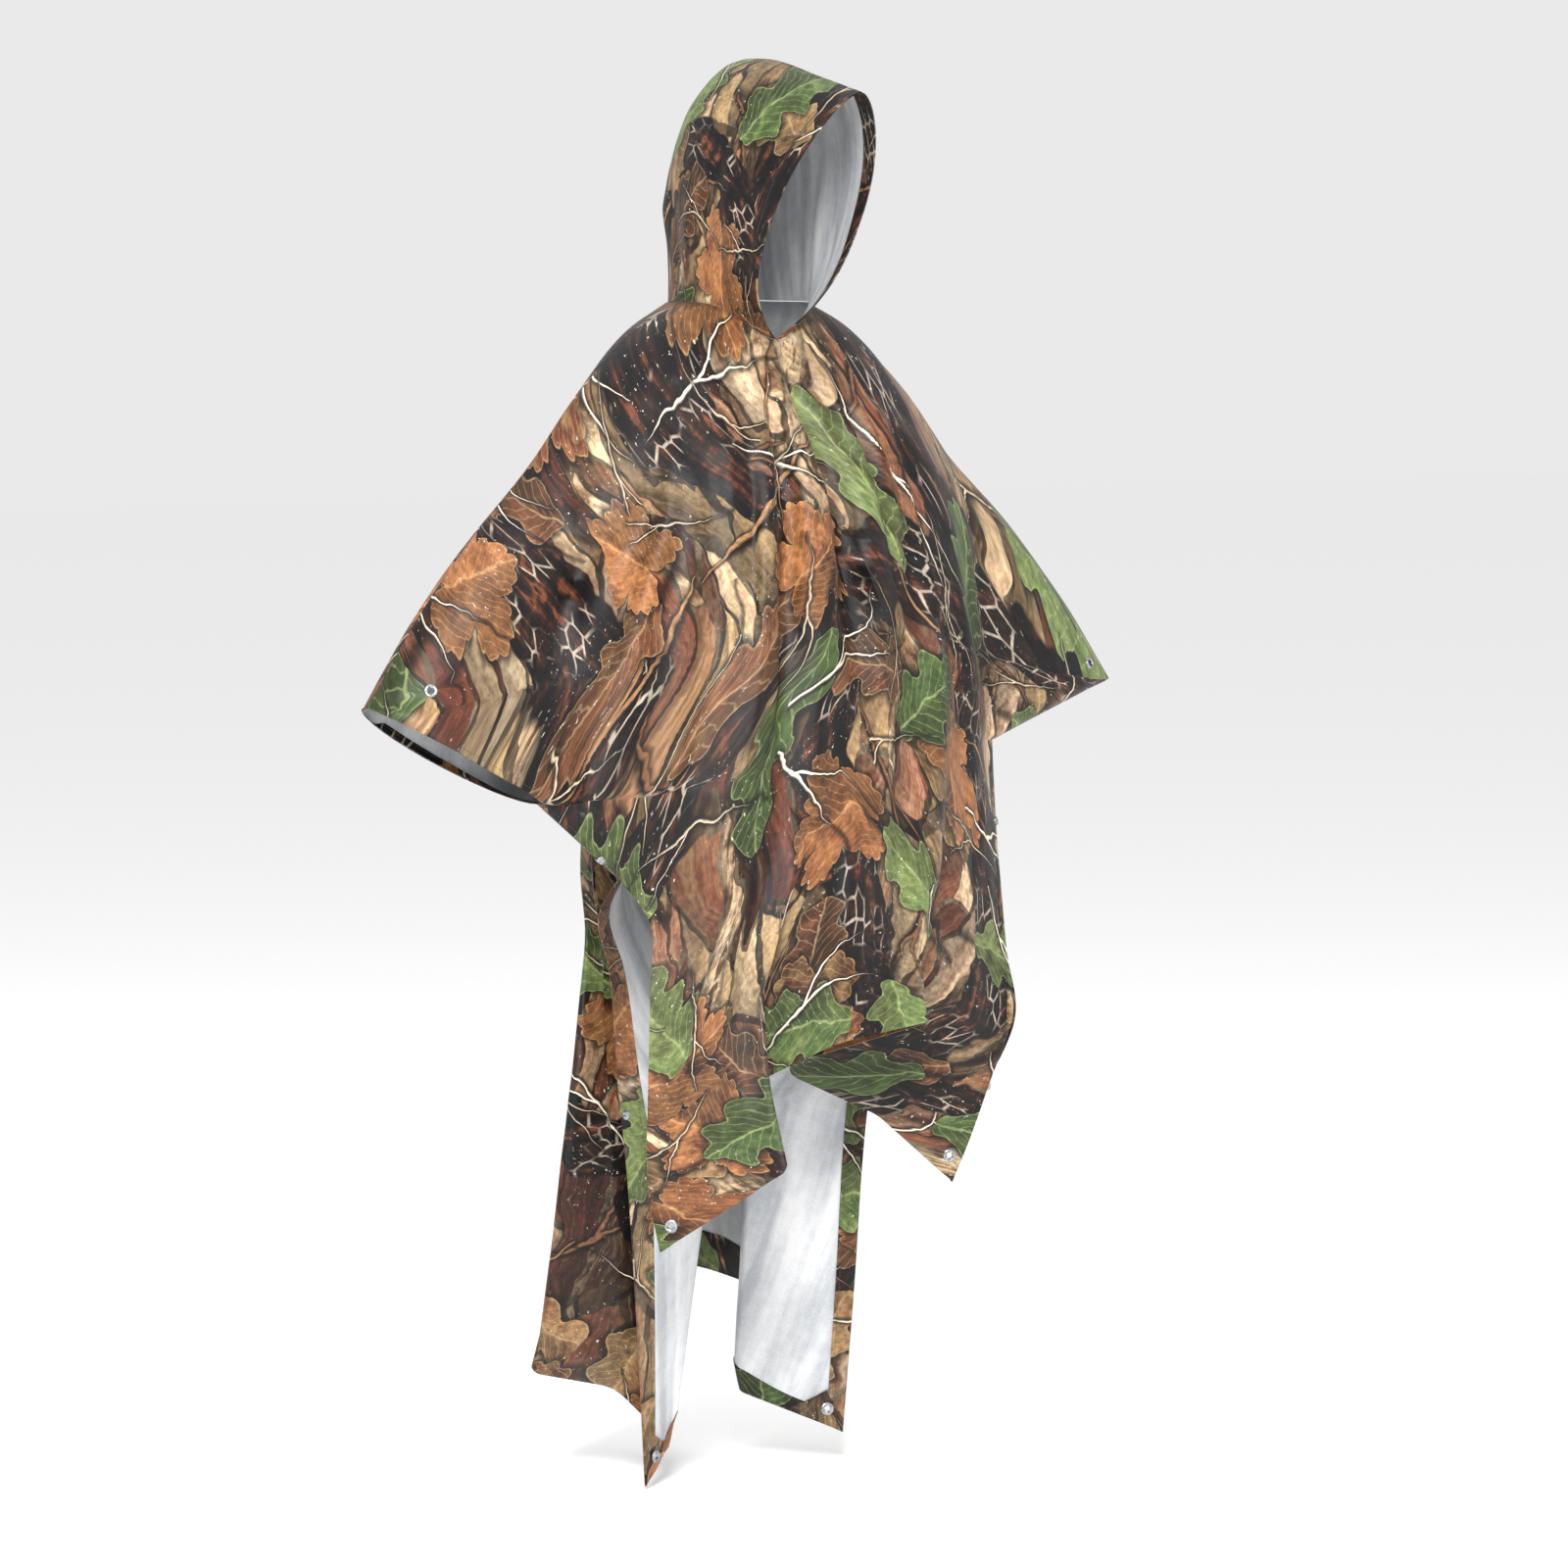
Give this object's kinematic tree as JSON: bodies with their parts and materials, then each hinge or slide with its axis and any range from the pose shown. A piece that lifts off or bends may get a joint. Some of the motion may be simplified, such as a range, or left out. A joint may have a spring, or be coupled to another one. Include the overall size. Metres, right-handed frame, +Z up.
{
  "type": "rain poncho",
  "caption": "Hooded rain poncho of camouflage coated cloth with a silver inside, long back, open sides, snap fasteners and corner eyelets, in the shape it has when worn.",
  "frame": {"origin": "on the axis of the wearer's neck, at the height of the shoulder ridges where they meet the neck opening", "axes": "+Z up, the front faces -Y, the wearer's left is +X"},
  "size_m": [1.102, 0.5323, 1.7321],
  "materials": {
    "panel_cloth": "matte coated cloth in a leaf and branch camouflage, silver coated inside",
    "hood_cloth": "matte coated cloth in a leaf and branch camouflage, silver coated inside",
    "hem_cloth": "matte coated cloth, camouflage side showing on the inside of the garment",
    "eyelet_steel": "satin",
    "snap_steel": "satin"
  },
  "bodies": {
    "root": {"eyelet_front_right": "eyelet_steel", "eyelet_front_left": "eyelet_steel", "eyelet_back_right": "eyelet_steel", "eyelet_back_left": "eyelet_steel", "eyelet_cuff_right": "eyelet_steel", "eyelet_cuff_left": "eyelet_steel", "front_panel": "panel_cloth", "back_panel": "panel_cloth", "front_bottom_hem": "hem_cloth", "front_right_hem": "hem_cloth", "front_left_hem": "hem_cloth", "back_bottom_hem": "hem_cloth", "back_right_hem": "hem_cloth", "back_left_hem": "hem_cloth", "corner_patch_front_right": "hem_cloth", "corner_patch_front_left": "hem_cloth", "corner_patch_back_right": "hem_cloth", "corner_patch_back_left": "hem_cloth", "snap_cap_front_right": "snap_steel", "snap_open_front_right": "snap_steel", "snap_cap_front_left": "snap_steel", "snap_open_front_left": "snap_steel", "snap_cap_back_right": "snap_steel", "snap_open_back_right": "snap_steel", "snap_cap_back_left": "snap_steel", "snap_open_back_left": "snap_steel", "hood_right": "hood_cloth", "hood_right_hem": "hem_cloth", "hood_left": "hood_cloth", "hood_left_hem": "hem_cloth"}
  },
  "joints": []
}
